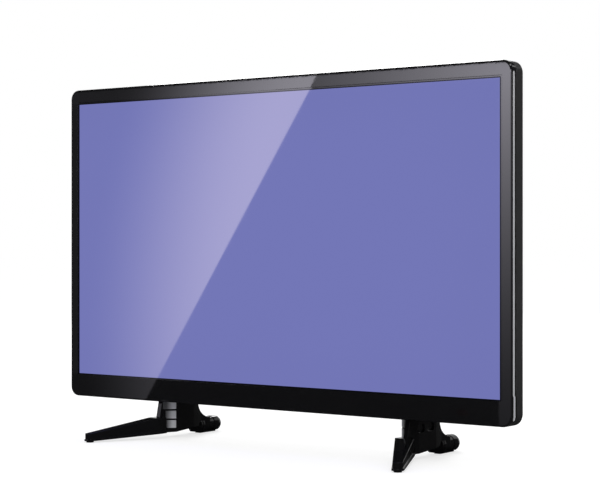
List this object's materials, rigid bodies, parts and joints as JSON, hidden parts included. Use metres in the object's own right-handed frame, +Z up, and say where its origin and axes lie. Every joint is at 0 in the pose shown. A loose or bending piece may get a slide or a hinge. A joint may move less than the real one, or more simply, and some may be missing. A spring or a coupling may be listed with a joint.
{
  "type": "flat screen television",
  "caption": "Widescreen flat television with a glossy black frame, silver side strips, splayed table legs, rear keys, socket wells and a wall mount pattern.",
  "frame": {"origin": "on the table, midway between the left and right legs and midway between toe tips and heels", "axes": "+X to the viewer's right along the screen's width, -Y out of the screen towards the viewer, +Z up"},
  "size_m": [0.5436, 0.171, 0.3719],
  "materials": {
    "gloss_black": "glossy",
    "silver_trim": "silver paint",
    "cover_plastic": "fine spark texture",
    "dark_steel": "black zinc",
    "leg_black": "glossy",
    "pad_rubber": "matte",
    "steel": "zinc plated",
    "display_glass": "polarised, glossy",
    "frame_plastic": "matte",
    "film": "satin",
    "diffuser": "satin",
    "reflector": "matte white",
    "lamp_bar": "white solder mask",
    "lamp_lens": "clear",
    "circuit_board": "solder mask",
    "ribbon": "satin",
    "chip": "matte",
    "capacitor": "sleeve",
    "heatsink": "extruded",
    "socket_metal": "nickel",
    "jack_yellow": "moulded",
    "jack_white": "moulded",
    "jack_red": "moulded",
    "jack_black": "moulded",
    "power_board": "bare laminate",
    "ferrite": "taped",
    "cone": "paper",
    "infrared": "dark red, clear",
    "key_plastic": "fine texture"
  },
  "bodies": {
    "set": {"front_bezel": "gloss_black", "side_trim_left": "silver_trim", "side_trim_right": "silver_trim", "rear_cover": "cover_plastic", "cover_screws": "dark_steel", "leg_left": "leg_black", "leg_right": "leg_black", "leg_inlay_left": "silver_trim", "leg_inlay_right": "silver_trim", "leg_pads": "pad_rubber", "leg_screws": "steel", "stand_bracket_left": "steel", "stand_bracket_right": "steel", "wall_mount_posts": "steel", "lcd_panel": "display_glass", "mid_frame": "frame_plastic", "optical_film": "film", "diffuser_plate": "diffuser", "reflector_sheet": "reflector", "led_bars": "lamp_bar", "led_lenses": "lamp_lens", "back_chassis": "steel", "driver_board": "circuit_board", "panel_ribbon": "ribbon", "main_board": "circuit_board", "main_chips": "chip", "main_capacitors": "capacitor", "processor_heatsink": "heatsink", "tuner_can": "steel", "antenna_socket": "socket_metal", "av_jack_yellow": "jack_yellow", "av_jack_white": "jack_white", "av_jack_red": "jack_red", "headphone_jack": "jack_black", "hdmi_sockets": "socket_metal", "usb_socket": "socket_metal", "power_board": "power_board", "transformer": "ferrite", "bulk_capacitor": "capacitor", "power_heatsink": "heatsink", "mains_inlet": "jack_black", "board_standoffs": "steel", "board_screws": "steel", "speaker_box_left": "frame_plastic", "speaker_box_right": "frame_plastic", "speaker_cones": "cone", "infrared_window": "infrared", "infrared_board": "circuit_board", "key_board": "circuit_board", "key_switches": "chip"},
    "power_key": {"key_power": "key_plastic"},
    "source_key": {"key_source": "key_plastic"},
    "menu_key": {"key_menu": "key_plastic"},
    "channel_up_key": {"key_channel_up": "key_plastic"},
    "channel_down_key": {"key_channel_down": "key_plastic"},
    "volume_up_key": {"key_volume_up": "key_plastic"},
    "volume_down_key": {"key_volume_down": "key_plastic"}
  },
  "joints": [
    {"name": "power_press", "type": "slide", "parent": "set", "child": "power_key", "axis": [0, -1, 0], "range_m": [0, 0.0005], "stiffness_N_per_m": 1500},
    {"name": "source_press", "type": "slide", "parent": "set", "child": "source_key", "axis": [0, -1, 0], "range_m": [0, 0.0005], "stiffness_N_per_m": 1500},
    {"name": "menu_press", "type": "slide", "parent": "set", "child": "menu_key", "axis": [0, -1, 0], "range_m": [0, 0.0005], "stiffness_N_per_m": 1500},
    {"name": "channel_up_press", "type": "slide", "parent": "set", "child": "channel_up_key", "axis": [0, -1, 0], "range_m": [0, 0.0005], "stiffness_N_per_m": 1500},
    {"name": "channel_down_press", "type": "slide", "parent": "set", "child": "channel_down_key", "axis": [0, -1, 0], "range_m": [0, 0.0005], "stiffness_N_per_m": 1500},
    {"name": "volume_up_press", "type": "slide", "parent": "set", "child": "volume_up_key", "axis": [0, -1, 0], "range_m": [0, 0.0005], "stiffness_N_per_m": 1500},
    {"name": "volume_down_press", "type": "slide", "parent": "set", "child": "volume_down_key", "axis": [0, -1, 0], "range_m": [0, 0.0005], "stiffness_N_per_m": 1500}
  ]
}
